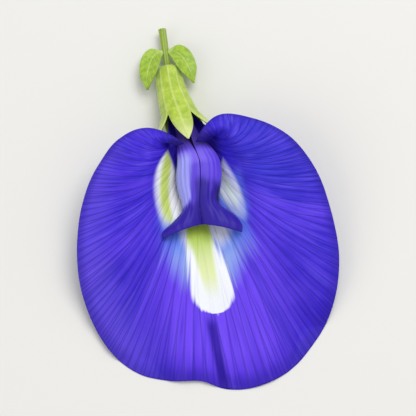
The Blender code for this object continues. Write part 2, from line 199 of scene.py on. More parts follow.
class Finish:
    """A material. Its numbers are set on the shader's own sockets; node() adds what varies."""

    def __init__(self, name, **numbers):
        self.material = bpy.data.materials.new(name)
        self.material.use_nodes = True
        self.tree = self.material.node_tree
        self.shader = self.tree.nodes["Principled BSDF"]
        for socket, value in numbers.items():
            self.shader.inputs[socket.replace("_", " ")].default_value = paint(value)

    def node(self, kind, settings, sockets, output=0):
        """Adds a node: its settings first, then numbers or wires for its sockets."""
        made = self.tree.nodes.new(kind)
        for setting, value in settings.items():
            setattr(made, setting, value)
        for socket, value in sockets.items():
            if isinstance(value, Wire):
                self.tree.links.new(value.socket, made.inputs[socket])
            else:
                made.inputs[socket].default_value = value
        return Wire(self, made.outputs[output])

    def feed(self, socket, wire):
        self.tree.links.new(wire.socket, self.shader.inputs[socket])

    def growth(self):
        """u across the piece and v along it, from its UV map."""
        place = self.node("ShaderNodeUVMap", {"uv_map": "growth"}, {})
        return [self.node("ShaderNodeSeparateXYZ", {}, {0: place}, i) for i in (0, 1)]

    def in_bloom(self):
        """The place in the bloom's own frame, in millimetres."""
        place = self.node("ShaderNodeTexCoord", {}, {}, "Object")
        origin = (Vector((0, 0, FACE_HEIGHT)) - PLAN_CENTRE) * MM
        turn = {"Vector": place, "Location": origin, "Rotation": (FACE_TILT, 0, 0), "Scale": [MM] * 3}
        return self.node("ShaderNodeMapping", {"vector_type": "TEXTURE"}, turn)

    def axes(self, place):
        return [self.node("ShaderNodeSeparateXYZ", {}, {0: place}, i) for i in range(3)]

    def point(self, x, y, z=0.0):
        return self.node("ShaderNodeCombineXYZ", {}, {0: x, 1: y, 2: z})

    def noise(self, place, scale, detail=2.0, roughness=0.5):
        sockets = {"Vector": place, "Scale": scale, "Detail": detail, "Roughness": roughness}
        return self.node("ShaderNodeTexNoise", {}, sockets)

    def mix(self, share, first, second):
        """A colour between the first and the second, each a wire or from the paint chart."""
        sockets = {0: share, 6: paint(first), 7: paint(second)}
        return self.node("ShaderNodeMix", {"data_type": "RGBA"}, sockets, 2)

    def coats(self, skin, *coats):
        """Lays coats over a skin, each given as how much it covers and its colour."""
        for share, colour in coats:
            skin = self.mix(share, skin, colour)
        return skin

    def bump(self, height, distance, strength=1.0):
        sockets = {"Height": height, "Distance": distance * MM, "Strength": strength}
        self.feed("Normal", self.node("ShaderNodeBump", {}, sockets))


def clamp(w):
    """Held between 0 and 1, for a number or a wire."""
    if isinstance(w, Wire):
        return w.math("MINIMUM", w.math("MAXIMUM", w, 0.0), 1.0)
    return min(max(w, 0.0), 1.0)


def ease(w):
    """Rises smoothly from 0 to 1, for a number or a wire."""
    w = clamp(w)
    return w * w * (3 - 2 * w)


def sine(w):
    return w.math("SINE", w) if isinstance(w, Wire) else math.sin(w)


def to_nearest(w):
    """How far a number or a wire is from the nearest whole number."""
    return w.math("PINGPONG", w, 0.5) if isinstance(w, Wire) else abs(w - round(w))


def paint(value):
    """A colour from the paint chart, in the linear light that shaders take. All else stays."""
    if not isinstance(value, str):
        return value
    parts = [int(value[i:i + 2], 16) / 255 for i in (0, 2, 4)]
    return [((c + 0.055) / 1.055) ** 2.4 if c > 0.04 else c / 12.92 for c in parts] + [1.0]


green_stalk = Finish("green_stalk", Roughness=0.5)
u, v = green_stalk.growth()
rib = sine((u * STALK_RIBS + v * STALK_TWIST) * 2 * math.pi)
fleck = green_stalk.noise(green_stalk.in_bloom(), 1.6, 4)
cut_end = 1 - ease((v - 0.002) / 0.006)
skin = green_stalk.coats(
    green_stalk.mix(rib * 0.3 + 0.4, "7f9c2c", "a9c048"),
    (ease((fleck - 0.5) / 0.2) * 0.4, "67832a"),
    (cut_end, "dfe3b4"),
)
green_stalk.feed("Base Color", skin)
green_stalk.bump(rib * 0.5 + fleck, 0.05, 0.6)

stalk = bmesh.new()
stem(
    stalk,
    STALK_CELLS,
    lambda t: in_calyx(0, *through(STALK, t)[:2]),
    lambda u, t: through(STALK, t)[2]
    * (1 + STALK_RIB * sine((u * STALK_RIBS + t * STALK_TWIST) * 2 * math.pi)),
)
finish_piece("stalk", stalk, [green_stalk], ["pedicel"])


def grow_hair(mesh, foot, middle, root, length):
    """A hair that grows away from the middle of a stem or tube, and leans to the cut end.

    It starts root out from its foot, and is left out where it would reach below the surface.
    """
    lean = ((foot - middle).normalized() + Vector((0, HAIR_LEAN, 0))).normalized()
    start, end = lie(foot + lean * root), lie(foot + lean * (root + length))
    if end.z < HAIR_RADIUS * MM:
        return
    turn = (end - start).to_track_quat("Z", "Y").to_matrix().to_4x4()
    bmesh.ops.create_cone(mesh, cap_ends=True, segments=3, radius1=HAIR_RADIUS * MM, radius2=0.0,
                          depth=length * MM, matrix=Matrix.Translation((start + end) / 2) @ turn)


down_white = Finish("down_white", Roughness=0.6, Base_Color="e6ecc0")
down = bmesh.new()
for i in range(STALK_HAIRS):
    share = STALK_DOWN[0] + (STALK_DOWN[1] - STALK_DOWN[0]) * (i + 0.5) / STALK_HAIRS
    along, lift, radius = through(STALK, share)
    turn = 2 * math.pi * ((i * GOLDEN) % 1.0)
    foot = in_calyx(radius * math.cos(turn), along, lift + radius * math.sin(turn))
    grow_hair(down, foot, in_calyx(0, along, lift), STALK_HAIR_ROOT, STALK_HAIR_LENGTH)
finish_piece("stalk_down", down, [down_white], [])


# Bracteoles
# Two small green bracts at the calyx's foot, one on each side, thin like young leaves. Each is a
# cupped sheet with a midrib and side veins, and grows from the stalk's top.
BRACTEOLE_CELLS = (36, 64)
BRACTEOLE_WALL, BRACTEOLE_EDGE = 0.4, 0.14  # thickness in the middle, and at the edge
BRACTEOLE_CUP = 0.15  # depth of its hollow, of the width
MIDRIB_DEPTH, MIDRIB_WIDTH = 0.07, 0.06  # the width as a share of the bracteole's
# The right one's edges in the calyx's frame: share of the length, aside, along, lift
BRACTEOLE_INNER = ((0.0, 0.45, -3.0, 0.5), (0.25, 0.85, -1.9, 1.3), (0.5, 1.3, -0.4, 2.25),
                   (0.78, 2.25, 1.4, 2.0), (1.0, 3.85, 2.9, 0.2))
BRACTEOLE_OUTER = ((0.0, 0.45, -3.7, 0.6), (0.25, 2.5, -4.1, 1.0), (0.5, 4.1, -2.6, 1.1),
                   (0.78, 4.8, 0.2, 0.7), (1.0, 4.05, 2.85, 0.1))
SIDE_VEINS, VEIN_SLANT = 6, 0.5  # number on each side, and how far forward they run


def side_vein(u, v, count):
    """Distance to the nearest of a leaf's side veins, which run forward from the midrib."""
    return to_nearest((v - abs(u - 0.5) * VEIN_SLANT) * count)


def bracteole_point(hand, u, v):
    inner, outer = Vector(through(BRACTEOLE_INNER, v)), Vector(through(BRACTEOLE_OUTER, v))
    point = inner.lerp(outer, u)
    midrib = math.exp(-(((u - 0.5) / MIDRIB_WIDTH) ** 2))
    point.z -= BRACTEOLE_CUP * (outer - inner).length * 4 * u * (1 - u) + MIDRIB_DEPTH * midrib
    return in_calyx(hand * point.x, point.y, point.z)


def give_walls(piece, thickest, thickness, back=0):
    """A sheet gets its walls, thickness(u, v) at each of its points, in millimetres.

    What would reach below the surface is pressed flat on it. With back at 1, the sheet's back
    takes the finish that follows the face's.
    """
    group = piece.vertex_groups.new(name="thickness")
    layer = piece.data.uv_layers["growth"].uv
    growth = {loop.vertex_index: layer[loop.index].vector for loop in piece.data.loops}
    for vertex in piece.data.vertices:
        wall = thickness(*growth[vertex.index])
        group.add([vertex.index], wall / thickest, "REPLACE")
        vertex.co.z = max(vertex.co.z, wall / 2 * MM)
    walls = piece.modifiers.new("walls", "SOLIDIFY")
    walls.thickness = thickest * MM
    walls.offset = 0.0
    walls.vertex_group = group.name
    walls.material_offset = back


leaf_green = Finish("bract_green", Roughness=0.48, Sheen_Weight=0.1)
u, v = leaf_green.growth()
vein = 1 - ease(side_vein(u, v, SIDE_VEINS) / 0.16)
midrib = 1 - ease(abs(u - 0.5) / 0.07)
fleck = leaf_green.noise(leaf_green.in_bloom(), 1.3, 5)
pale_foot = ease((0.25 - v) / 0.25)
skin = leaf_green.coats(
    leaf_green.mix(ease((fleck - 0.35) / 0.3), "86ab22", "a3c435"),
    (vein * 0.35, "c0d56c"),
    (midrib * 0.7, "cfe08c"),
    (pale_foot * 0.5, "d3df9a"),
)
leaf_green.feed("Base Color", skin)
leaf_green.bump(vein * 0.6 + midrib + fleck * 0.8, 0.06, 0.7)

for hand, side in ((-1, "left"), (1, "right")):
    sheet = bmesh.new()
    grid(sheet, BRACTEOLE_CELLS, lambda u, v, hand=hand: bracteole_point(hand, u, v))
    piece = finish_piece(side + "_bracteole", sheet, [leaf_green],
                         ["bracteole_" + side], up=Vector((0, 0, 1)))
    give_walls(piece, BRACTEOLE_WALL,
               lambda u, v: BRACTEOLE_EDGE + (BRACTEOLE_WALL - BRACTEOLE_EDGE) * ease(6 * u * (1 - u)))


# Calyx
# Five sepals grown together into a pale yellow-green tube with five pointed lobes, thin and
# softly ribbed, with short down on it. It holds the claws of all the petals.
LOBES = 5
TUBE_CELLS, LOBE_CELLS = (24 * LOBES, 64), (24, 44)
CALYX_WALL, LOBE_EDGE = 0.42, 0.16  # thickness, and at the lobes' edges
CALYX_RIB = 0.07  # height of its ribs
TUBE_LENGTH = 8.6
# The lobes, counted round from the front one: how far each tip stands outward, and length
LOBE_FLARE = (0.85, 2.55, 1.2, 1.2, 2.55)
LOBE_LENGTH = (5.9, 4.6, 5.6, 5.6, 4.6)
LOBE_TAPER, LOBE_TIP = 1.9, 0.04  # how late the lobe narrows, and the share left at its tip
# Middle of the tube's wall: place along the profile, distance along the tube, radius
TUBE_WALL = ((0.0, -0.25, 0.95), (0.1, -0.25, 1.52), (0.2, 0.3, 1.97), (0.35, 1.6, 2.04),
             (0.6, 4.2, 2.28), (0.8, 6.6, 2.63), (1.0, 8.6, 2.95))
CALYX_HAIRS, CALYX_HAIR_LENGTH = 900, 0.34
DOWN_FROM = 0.14  # place along the tube where the down begins
CALYX_HAIR_ROOT = 0.15  # from the middle of the wall out to just inside its face


def calyx_rib(around):
    """Ten ribs run up the tube, one to each lobe's tip and one to each notch."""
    return CALYX_RIB * (0.5 + 0.5 * math.cos(around * 2 * LOBES)) ** 2


def tube_wall_point(u, v):
    distance, radius = through(TUBE_WALL, v)
    around = 2 * math.pi * (u - 0.5 / LOBES)
    radius += calyx_rib(around) * ease(v / 0.3)
    return in_calyx(radius * math.sin(around), distance, radius * math.cos(around))


def lobe_point(lobe, u, v):
    """u runs across the lobe, v from the tube's mouth to the lobe's tip."""
    width = 1 - (1 - LOBE_TIP) * v**LOBE_TAPER
    around = 2 * math.pi * (lobe + (u - 0.5) * width) / LOBES
    radius = TUBE_WALL[-1][2] + LOBE_FLARE[lobe] * v
    radius += calyx_rib(2 * math.pi * (u - 0.5) / LOBES) * (1 - 0.5 * v)
    distance = TUBE_LENGTH + LOBE_LENGTH[lobe] * v
    return in_calyx(radius * math.sin(around), distance, radius * math.cos(around))


def calyx_wall(u, v):
    """The tube's wall is even; a lobe's thins out to its edges and its tip."""
    on_lobe = clamp((v - 1) / 0.2)
    lobe_wall = LOBE_EDGE + (CALYX_WALL - LOBE_EDGE) * ease(8 * u * (1 - u)) * ease((2 - v) / 0.3)
    return CALYX_WALL + (lobe_wall - CALYX_WALL) * on_lobe


calyx_green = Finish("calyx_green", Roughness=0.5, Sheen_Weight=0.2)
u, v = calyx_green.growth()
place = calyx_green.in_bloom()
on_lobe = ease((v - 0.999) / 0.002)
ribs_across = 2 * LOBES - (2 * LOBES - 2) * on_lobe
rib = 1 - ease(to_nearest(u * ribs_across) / 0.16)
cells = calyx_green.node("ShaderNodeTexVoronoi", {"feature": "DISTANCE_TO_EDGE"},
                         {"Vector": place, "Scale": 1.5})
net = 1 - ease(cells / 0.12)
blotch = calyx_green.noise(place, 0.7, 4)
# Painted highlight: the lobes' tips are painted paler, as if lit
painted_tip_highlight = ease((v - 1.1) / 0.9)
skin = calyx_green.coats(
    calyx_green.mix(ease((blotch - 0.35) / 0.3), "9dbc28", "bdd648"),
    (net * 0.3, "8aa82e"),
    (rib * 0.55, "d6e08a"),
    (painted_tip_highlight * 0.75, "e6efa4"),
)
calyx_green.feed("Base Color", skin)
calyx_green.bump(rib + net * 0.4 + calyx_green.noise(place, 7.0, 3) * 0.4, 0.05, 0.7)

sheet = bmesh.new()
grid(sheet, TUBE_CELLS, tube_wall_point, closed=True)
for lobe in range(LOBES):
    grid(sheet, LOBE_CELLS, lambda u, v, lobe=lobe: lobe_point(lobe, u, v), before=1)
bmesh.ops.remove_doubles(sheet, verts=sheet.verts, dist=MERGE)
calyx = finish_piece("calyx_tube_and_lobes", sheet, [calyx_green], ["calyx"])
give_walls(calyx, CALYX_WALL, calyx_wall)

down = bmesh.new()
for i in range(CALYX_HAIRS):
    u, v = (i * GOLDEN) % 1.0, DOWN_FROM + (1 - DOWN_FROM) * (i + 0.5) / CALYX_HAIRS
    middle = in_calyx(0, through(TUBE_WALL, v)[0], 0)
    grow_hair(down, tube_wall_point(u, v), middle, CALYX_HAIR_ROOT, CALYX_HAIR_LENGTH)
finish_piece("calyx_down", down, [down_white], [])


# Pistil
# The slim green ovary on its short stalk, with the bent style that carries the stigma. It stands
# in the middle of the bloom, inside the tube of the stamens.
# Middle line of the pistil and the stamens: share of the length, and point
HEART_LINE = ((0.0, 22.4, -9.73), (0.38, 15.5, -6.85), (0.6, 11.4, -5.05), (0.8, 7.8, -3.9),
              (1.0, 4.2, -3.35), (1.2, 0.6, -3.0))
# Share of the length, and radius
PISTIL = ((0.0, 0.2), (0.3, 0.24), (0.6, 0.25), (0.8, 0.18), (0.94, 0.17), (1.0, 0.24))
PISTIL_CELLS = (32, 110)
PISTIL_END = 1.12  # share of the middle line
STYLE_BEND, STYLE_RISE = 0.88, 0.9  # from there the style bends up into the keel's beak
HEART_BOW = 1.1  # how far the bloom's heart stands to the right, between the two ends below
BOW_TOP, BOW_TOP_SPAN = 12.6, 5.4
BOW_END, BOW_END_SPAN = -1.0, 9.0


def bow(y):
    """How far the petals and stamens round the bloom's middle line are bowed to the right."""
    return HEART_BOW * ease((BOW_TOP - y) / BOW_TOP_SPAN) * ease((y - BOW_END) / BOW_END_SPAN)


def heart_point(t, aside=0.0, lift=0.0):
    """A point beside the middle line, where lift is square to the line."""
    y, z = through(HEART_LINE, t)
    ahead = Vector((0, *through(HEART_LINE, t + STEP))) - Vector((0, y, z))
    up = ahead.cross(Vector((1, 0, 0))).normalized()
    return Vector((aside + bow(y), y, z)) + up * lift


ovary_green = Finish("ovary_green", Roughness=0.45)
u, v = ovary_green.growth()
grain = ovary_green.noise(ovary_green.in_bloom(), 5.0, 4)
pale_style = ease((v - 0.8) / 0.15)
skin = ovary_green.mix(ease((grain - 0.4) / 0.2), "93b44a", "b3cd70")
ovary_green.feed("Base Color", ovary_green.mix(pale_style, skin, "e9edc8"))
ovary_green.bump(grain, 0.03, 0.6)

pistil = bmesh.new()
stem(
    pistil,
    PISTIL_CELLS,
    lambda t: heart_point(t * PISTIL_END, 0.0, STYLE_RISE * ease((t - STYLE_BEND) / (1 - STYLE_BEND))),
    lambda u, t: through(PISTIL, t)[0],
)
finish_piece("ovary_and_style", pistil, [ovary_green], ["pistil"])


# Stamens
# Nine filaments grown together into a whitish tube with an open side, and a tenth that lies by
# itself in the opening. Each ends free, with a small cream anther.
TUBE_INNER, TUBE_OUTER = 0.53, 0.78
TUBE_SLIT = math.radians(54)  # half the arc that the tube leaves open
STAMEN_TUBE_END = 0.84
FILAMENTS = 9
FREE_ENDS = (0.12, 0.17)  # how far the filaments reach on, by turns
TIP_OVERLAP = 0.06  # how far they start inside the tube
ANTHER_SPREAD = 0.9  # share of the tube's arc that the nine take
# Share of the length, and radius, which swells at the anther
STAMEN = ((0.0, 0.16), (0.5, 0.13), (0.68, 0.14), (0.76, 0.25), (0.9, 0.25), (1.0, 0.1))
STAMEN_TUBE_CELLS, STAMEN_CELLS = (72, 90), (16, 40)
FILAMENT_ROUND = 0.05  # how far each grown-in filament stands out of the tube
half_arc = math.pi - TUBE_SLIT
tube_middle = (TUBE_INNER + TUBE_OUTER) / 2


def filament_finish(name):
    """A whitish, finely grained finish, and the mix that is its colour."""
    white = Finish(name, Roughness=0.45)
    grain = white.noise(white.in_bloom(), 4.0, 4)
    white.bump(grain, 0.02, 0.5)
    return white, white.mix(ease((grain - 0.4) / 0.2), "dfe0c0", "eef0dc")


def stamen_tube_point(u, v):
    angle = half_arc * (2 * u - 1)
    radius = tube_middle + FILAMENT_ROUND * (0.5 - 2 * to_nearest(u * FILAMENTS + 0.5))
    return heart_point(v * STAMEN_TUBE_END, radius * math.sin(angle), radius * math.cos(angle))


def stamen(mesh, start, end, aside, lift):
    """One filament with its anther, along the bloom's middle line from start to end."""
    stem(mesh, STAMEN_CELLS, lambda t: heart_point(start + (end - start) * t, aside, lift),
         lambda u, t: through(STAMEN, t)[0])


tube_white, skin = filament_finish("filament_tube_white")
tube_white.feed("Base Color", skin)
sheet = bmesh.new()
grid(sheet, STAMEN_TUBE_CELLS, stamen_tube_point)
tube = finish_piece("filament_tube", sheet, [tube_white], ["stamen_tube"],
                    up=Vector((0, 0, 1)))
give_walls(tube, TUBE_OUTER - TUBE_INNER, lambda u, v: TUBE_OUTER - TUBE_INNER)

filament_white, skin = filament_finish("filament_white")
u, v = filament_white.growth()
anther = ease((v - 0.7) / 0.05)
filament_white.feed("Base Color", filament_white.mix(anther, skin, "e3cf7e"))
anthers = bmesh.new()
for i in range(FILAMENTS):
    angle = ANTHER_SPREAD * half_arc * (2 * i / (FILAMENTS - 1) - 1)
    stamen(anthers, STAMEN_TUBE_END - TIP_OVERLAP, STAMEN_TUBE_END + FREE_ENDS[i % 2],
           tube_middle * math.sin(angle), tube_middle * math.cos(angle))
finish_piece("free_filament_ends", anthers, [filament_white], [])

tenth = bmesh.new()
stamen(tenth, 0.0, STAMEN_TUBE_END + FREE_ENDS[0], 0.0, -tube_middle)
finish_piece("tenth_stamen", tenth, [filament_white], ["free_stamen"])


# Keel
# The two lowest petals, grown together into a small boat over the stamens. They are thin and
# whitish where they rise from the calyx, and violet on the blade: its own violet, painted deeper as
# the shade that falls under the wings.
KEEL_CELLS = (72, 130)
KEEL_WALL = 0.3
BLADE_FROM = 0.2  # share of a wing's or the keel's length where the claw widens into the blade
# Share of the length, middle of the section, half width, height, half arc in degrees
KEEL = (
    (0.00, 22.4, -9.73, 1.33, 1.33, 38), (0.20, 15.5, -6.85, 1.3, 1.33, 34),
    (0.28, 13.6, -6.0, 1.25, 1.28, 35), (0.36, 11.8, -5.1, 1.22, 1.25, 56),
    (0.50, 9.0, -3.7, 1.75, 1.7, 100), (0.65, 6.3, -3.0, 2.0, 1.9, 112),
    (0.80, 3.5, -2.5, 2.0, 1.85, 112), (0.92, 1.3, -2.2, 1.4, 1.45, 112),
    (1.00, 0.1, -2.1, 0.55, 0.6, 112),
)


def keel_point(u, v):
    """The keel's section is an arch: upright on the claw's slope, and level further on."""
    y, z, half_width, height, arc = through(KEEL, v)
    angle = math.radians(arc) * (2 * u - 1)
    lean = math.sin(CALYX_PITCH) * (1 - ease((v - BLADE_FROM) / 0.4))
    rise = height * math.cos(angle)
    aside = half_width * math.sin(angle) + bow(y)
    return Vector((aside, y + rise * lean, z + rise * math.sqrt(1 - lean**2)))


keel_violet = Finish("keel_violet", Roughness=0.5, Specular_IOR_Level=0.25)
u, v = keel_violet.growth()
streak = keel_violet.noise(keel_violet.point(u * 30, v * 3), 1.0, 3)
seam = 1 - ease(abs(u - 0.5) / 0.03)
# The blade's dark violet is partly its own colour and partly painted shade from the wings above
skin = keel_violet.coats(
    keel_violet.mix(ease((v - BLADE_FROM) / 0.15), "c4c2dc", "3f2890"),
    (ease((streak - 0.45) / 0.2) * 0.4, "4029a0"),
    (seam * 0.6, "2f2080"),
)
keel_violet.feed("Base Color", skin)
keel_violet.bump(streak - seam, 0.05, 0.6)

sheet = bmesh.new()
grid(sheet, KEEL_CELLS, keel_point)
keel = finish_piece("keel", sheet, [keel_violet], ["keel_petals"], up=Vector((0, 0, 1)))
give_walls(keel, KEEL_WALL, lambda u, v: KEEL_WALL)


# Wings
# Two petals that arch over the keel, ridge to ridge, and flare out at their lower ends. They are
# satin violet on whitish claws, paler on the upper part, with a painted highlight there that is
# strongest on the left one, and painted shade at the flared ends, at the waist and by the notch.
WING_CELLS = (64, 150)
WING_WALL, WING_EDGE = 0.34, 0.14
WING_BULGE = 0.16  # of the width
WING_HOLLOW, HOLLOW_FROM = 0.4, 0.82  # how deep the lower edge is cut in, and from where
WING_FOLD, WING_FOLDS = 0.05, 5  # height and number of the fine folds along the wing
# Hand, side, colour of the painted highlight, where it ends, and how dark the painted shade at the
# waist is, with how strong the painted glint above it
WING_LOOKS = ((-1, "left", "abaeff", 0.87, 0.0), (1, "right", "6a4ce6", 0.7, 0.7))
# The right one's inner edge, and each one's outer edge as if it were the right one: share of the
# length, and point
WING_INNER = (
    (0.00, 1.33, 22.45, -9.3), (0.18, 1.33, 15.6, -6.1), (0.25, 1.20, 13.7, -4.3),
    (0.31, 0.50, 12.0, -2.6), (0.42, 0.10, 9.6, -1.15), (0.56, 0.06, 6.8, 0.2),
    (0.70, 0.05, 4.2, 0.65), (0.84, 0.04, 1.6, 0.8), (1.00, 0.04, -2.7, 0.35),
)
WING_OUTER = {
    -1: (
        (0.00, 1.33, 22.1, -9.95), (0.18, 1.33, 15.3, -6.95), (0.30, 1.95, 11.5, -4.6),
        (0.42, 3.2, 9.1, -2.9), (0.56, 3.95, 6.0, -2.3), (0.68, 3.65, 3.4, -1.9),
        (0.78, 2.9, 1.2, -1.35), (0.86, 3.0, -0.3, -1.0), (0.93, 4.8, -1.8, -0.25),
        (0.975, 6.6, -3.1, 0.6), (1.00, 6.5, -4.05, 0.9),
    ),
    1: (
        (0.00, 1.33, 22.1, -9.95), (0.18, 1.33, 15.3, -6.95), (0.30, 1.95, 11.5, -4.6),
        (0.42, 2.8, 9.1, -2.9), (0.56, 3.4, 6.2, -2.3), (0.68, 3.4, 3.5, -1.85),
        (0.78, 3.15, 1.3, -1.35), (0.86, 3.5, -0.2, -0.9), (0.93, 5.25, -1.8, -0.2),
        (0.975, 6.35, -3.7, 0.6), (1.00, 6.15, -4.9, 0.9),
    ),
}


def wing_point(hand, u, v):
    """u runs from the wing's inner edge, at the ridge, to its outer one; v from its foot."""
    inner, outer = Vector(through(WING_INNER, v)), Vector(through(WING_OUTER[hand], v))
    across = outer - inner
    along = Vector(through(WING_INNER, min(v + STEP, 1))) - Vector(through(WING_INNER, v - STEP))
    up = across.cross(along).normalized()
    blade = ease((v - BLADE_FROM) / 0.2)
    bulge = WING_BULGE * across.length * 4 * u * (1 - u) * blade
    bulge += WING_FOLD * blade * math.sin(2 * math.pi * WING_FOLDS * u) * 4 * u * (1 - u)
    point = inner + across * u + up * math.copysign(bulge, up.z)
    point.y += WING_HOLLOW * 4 * u * (1 - u) * ease((v - HOLLOW_FROM) / (1 - HOLLOW_FROM))
    return Vector((hand * point.x + bow(point.y), point.y, point.z))


def wing_finish(name, highlight_colour, highlight_end, shade_and_glint):
    """Satin violet with fine veins along the wing, darker at its margin, with painted shade at its
    lower end, in the cleft along its ridge and up by the notch.

    The upper part bears a painted highlight in a colour of its own, down to a given share of the
    length. The last argument sets how dark the painted shade at the waist is, and how strong the
    painted glint above it.
    """
    violet = Finish(name, Roughness=0.45, Specular_IOR_Level=0.22, Sheen_Weight=0.05,
                    Sheen_Roughness=0.4, Sheen_Tint="9f96ff")
    u, v = violet.growth()
    streak = violet.noise(violet.point(u * 26, v * 3), 1.0, 3)
    end = highlight_end + (streak - 0.5) * 0.16
    crown = ease((v - 0.4) / 0.06) * ease((0.56 - v) / 0.06)
    # Painted highlight on the upper part, down to where it ends
    painted_highlight = ease((u - 0.36 * v + 0.02) / 0.22) * ease((v - 0.4) / 0.1) * ease((end - v) / 0.07)
    # Painted shade at the flared lower end
    shaded_end = ease((v - end + 0.05) / 0.07)
    # Painted shade at the waist, and below it a painted glint on the blade above the waist
    waist_shade = ease((u - 0.5) / 0.3) * ease((v - 0.7) / 0.05) * ease((0.86 - v) / 0.05)
    glint = ease((0.17 - abs(u - 0.42)) / 0.15) * ease((v - 0.6) / 0.08) * ease((0.8 - v) / 0.08)
    # Painted shade in the cleft along the ridge, on the lower part
    ridge = ease((0.3 - u) / 0.25) * ease((v - 0.6) / 0.12)
    margin = ease((u - 0.92) / 0.08) * (1 - painted_highlight)
    skin = violet.coats(
        violet.mix(ease((streak - 0.42) / 0.25) * 0.45, "6248dc", "4a33c0"),
        (crown * 0.8, "8068ea"),
        (painted_highlight * (1.35 - streak), highlight_colour),
        (shaded_end * 0.85, "200690"),
        (waist_shade * shade_and_glint, "12054a"),
        (glint * shade_and_glint * 0.9, "5a3cd0"),
        (ridge * 0.8, "2b1a90"),
        (margin * 0.5, "3a2f96"),
        # Painted shade up by the notch, over the claws' upper end
        (ease((0.44 - v) / 0.08) * 0.75, "35236f"),
        (ease((BLADE_FROM - v) / 0.05), "c9cce4"),
    )
    violet.feed("Base Color", skin)
    violet.bump(streak, 0.06, 0.7)
    return violet


def wing_wall(u, v):
    return WING_EDGE + (WING_WALL - WING_EDGE) * ease(8 * u * (1 - u)) * ease((1 - v) / 0.08)


for hand, side, *look in WING_LOOKS:
    sheet = bmesh.new()
    grid(sheet, WING_CELLS, lambda u, v, hand=hand: wing_point(hand, u, v))
    violet = wing_finish(side + "_wing_violet", *look)
    wing = finish_piece(side + "_wing", sheet, [violet], ["wing_petal_" + side],
                        up=Vector((0, 0, 1)))
    give_walls(wing, WING_WALL, wing_wall)


# Standard
# The great round petal that makes the bloom's face: thin, satin and deep blue, with veins that
# fork towards the rim and a white and yellow-green mark below the throat. Its claw stands in the
# calyx, and the two lobes at its top meet at the notch over it.
STANDARD_CELLS = (380, 100)
BLADE_WALL, RIM_WALL = 0.3, 0.12
# The petal's edge as angle from the foot of the face, reach, and height of the rim
EDGE = (
    (-175, 10.8, -0.3), (-158, 15.2, 0.0), (-140, 17.0, 0.5), (-120, 18.0, 0.0),
    (-100, 19.2, -0.7), (-80, 21.1, -0.5), (-60, 24.2, -1.3), (-40, 27.7, -1.8),
    (-28, 29.1, -2.2), (-18, 28.6, -0.6), (-8, 28.2, 0.1), (0, 29.9, -0.1), (8, 30.5, 0.1),
    (20, 30.3, -0.5), (31, 29.2, -2.2), (43, 27.3, -1.7), (60, 24.4, -0.6), (80, 21.4, -1.0),
    (100, 19.9, -0.4), (120, 18.7, 0.3), (140, 17.2, 0.6), (158, 15.6, 0.2), (175, 10.8, -0.3),
)
EDGE_END = 175  # degrees, where the edge meets the notch
# Where the veins turn out of the throat: share of the half petal, point, climb of the wall
TURN = ((0.0, 0.0, 4.0, -6.5, 9.7), (0.25, 0.9, 2.4, -5.2, 11.5), (0.5, 1.9, 1.6, -3.6, 12.8),
        (0.75, 3.5, 5.2, -4.2, 13.0), (0.9, 4.7, 8.0, -4.4, 6.0), (1.0, 5.2, 10.0, -3.0, -0.3))
CLAW_SHARE = 0.2  # of the petal's length
CLAW_ARC = (math.radians(56), math.radians(74))  # half width at the foot, and at the tube's mouth
CLAW_RADIUS = (1.275, 2.0)  # at the same two places
CLAW_START = 1.15  # above the calyx's floor
RIM_CROWDING = 1.25  # how much closer the rows of cells lie towards the rim
THROAT_SHIFT = 0.9  # how far the throat stands to the right
THROAT_ROUNDING = 2.2  # how softly the throat turns into the face
DISH, DISH_FROM = 1.0, 0.4  # depth of the face's dish, and share of the blade where it starts
PLEATS, PLEAT_DEPTH, PLEAT_PHASE = 9, 0.22, 0.6  # counted round the whole petal
MIDLINE_WIDTH = 13  # degrees, where neither dish nor pleats reach
CREASE_WIDTH, CREASE_DEPTH = 4, 0.45  # the width in degrees
CREASE_FROM, CREASE_FADE = 0.5, 0.3  # shares of the dish
RUFFLE, RIB_RISE, CRINKLE = 0.16, 0.05, 0.05  # fine relief, in millimetres
VEIN_SECTORS = 15
# Where the veins fork: share of the blade, and how far the two arms part, of a sector's width
FORKS = ((0.22, 0.25), (0.42, 0.125), (0.62, 0.0625), (0.8, 0.03125))
FORK_SPAN = 0.3  # share of the blade over which the arms part
REACH = 25.0  # a usual length of the blade
# The mark below the throat, in millimetres of the bloom's own frame
MARK_TOP, MARK_LENGTH = -2.0, 15.4
MARK_HALF, MARK_WIDENING = 1.8, 2.4  # half width at its top, and what its lower end has more
MARK_ASIDE, MARK_LEAN = -1.0, 1.35  # where its middle starts, and how far it runs to the right
MARK_ROUND = 0.3  # share of the length that rounds off its end


def blade_share(v):
    """From v along the whole petal to the share of its blade, for a number or a wire."""
    return 1 - ((1 - v) / (1 - CLAW_SHARE)) ** RIM_CROWDING


def vein_gap(u, t, forks):
    """Distance to the nearest vein in millimetres, for numbers or wires."""
    gap = to_nearest(u * VEIN_SECTORS + 0.12 * sine(u * 29 + t * 2))
    for start, part in forks:
        late = 0.07 * sine(u * (31 + 90 * start) + 40 * start)
        gap = abs(gap - part * ease((t - start + late) / FORK_SPAN))
    return gap * (t + 0.02) * (2 * math.pi * REACH / VEIN_SECTORS)


def soft_min(a, b, rounding):
    return min(a, b) - max(rounding - abs(a - b), 0.0) ** 2 / (4 * rounding)


